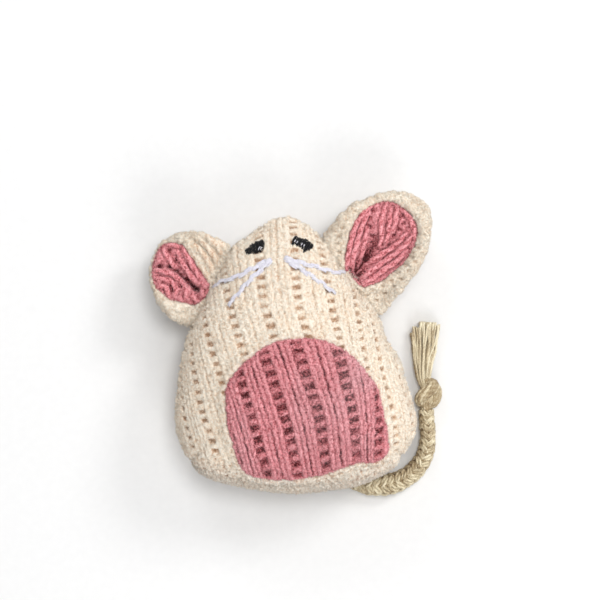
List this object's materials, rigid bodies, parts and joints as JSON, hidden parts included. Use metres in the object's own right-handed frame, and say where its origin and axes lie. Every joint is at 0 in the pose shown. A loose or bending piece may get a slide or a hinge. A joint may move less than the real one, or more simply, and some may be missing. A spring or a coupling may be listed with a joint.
{
  "type": "catnip mouse",
  "caption": "Stuffed knit cat toy shaped as a mouse, with a belly patch, cupped ears, stitched face and a knotted rope tail.",
  "frame": {"origin": "middle of the flat face of the back panel that the toy rests on", "axes": "+Z out of the belly, away from the resting face; +Y from the base gusset to the crown; +X to the right of someone who looks down on the belly"},
  "size_m": [0.1058, 0.1106, 0.04],
  "materials": {
    "cream_chenille": "soft matte chenille knit",
    "pink_chenille": "soft matte chenille knit",
    "black_thread": "satin stitch",
    "white_thread": "satin thread",
    "cotton_rope": "braided unbleached cotton",
    "sewing_thread": "matte thread",
    "wadding": "loose polyester fibre",
    "muslin": "thin plain weave",
    "dried_herb": "crumbled dry leaf"
  },
  "bodies": {
    "body": {"front_panel": "cream_chenille", "back_panel": "cream_chenille", "base_gusset": "cream_chenille", "belly_patch": "pink_chenille", "left_eye": "black_thread", "right_eye": "black_thread", "left_eye_glint": "white_thread", "right_eye_glint": "white_thread", "left_upper_whisker": "white_thread", "left_lower_whisker": "white_thread", "right_upper_whisker": "white_thread", "right_lower_whisker": "white_thread", "front_wadding": "wadding", "back_wadding": "wadding", "sachet_front": "muslin", "sachet_back": "muslin", "dried_catnip": "dried_herb", "closing_thread": "sewing_thread", "tail_root": "cotton_rope"},
    "left_ear": {"left_ear_back": "cream_chenille", "left_ear_lining": "pink_chenille"},
    "right_ear": {"right_ear_back": "cream_chenille", "right_ear_lining": "pink_chenille"},
    "tail": {"tail_rope": "cotton_rope", "tail_knot": "cotton_rope", "tail_tassel": "cotton_rope"}
  },
  "joints": [
    {"name": "left_ear_flop", "type": "hinge", "parent": "body", "child": "left_ear", "pos_m": [-0.03221, 0.02508, 0.016], "axis": [0.4575, 0.8892, 0], "range_deg": [-15, 50], "stiffness_Nm_per_rad": 0.01},
    {"name": "right_ear_flop", "type": "hinge", "parent": "body", "child": "right_ear", "pos_m": [0.0206, 0.02937, 0.016], "axis": [0.5937, -0.8047, 0], "range_deg": [-15, 50], "stiffness_Nm_per_rad": 0.01},
    {"name": "tail_swing", "type": "hinge", "parent": "body", "child": "tail", "pos_m": [0.0171, -0.0447, 0.0049], "axis": [0, 0, 1], "range_deg": [-140, 0]}
  ]
}
